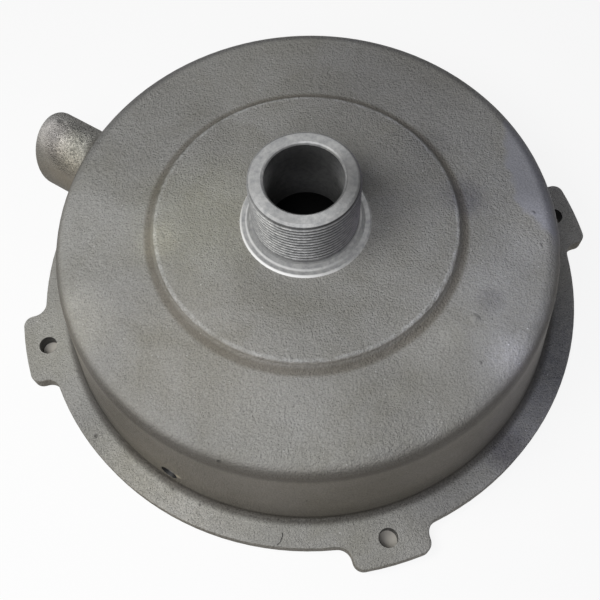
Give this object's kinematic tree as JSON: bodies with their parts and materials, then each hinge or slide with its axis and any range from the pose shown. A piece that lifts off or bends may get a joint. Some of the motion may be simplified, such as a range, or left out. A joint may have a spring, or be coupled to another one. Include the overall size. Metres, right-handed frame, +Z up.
{
  "type": "pump housing",
  "caption": "One-piece sand-cast pump housing: round stepped drum, lugged mounting flange, threaded inlet hub, side outlet stub, open bowl underneath.",
  "frame": {"origin": "centre of the bolt circle on the mounting face, on the inlet axis", "axes": "+Z up the inlet axis, away from the mounting face; the outlet stub points to 145.3 degrees from +X, counter-clockwise seen from above, and its axis passes 10.8 mm to one side of the inlet axis"},
  "size_m": [0.2876, 0.2876, 0.0997],
  "materials": {
    "cast_body": "as sand cast, machined on the inlet hub and the mounting face"
  },
  "bodies": {
    "root": {"pump_housing": "cast_body"}
  },
  "joints": []
}
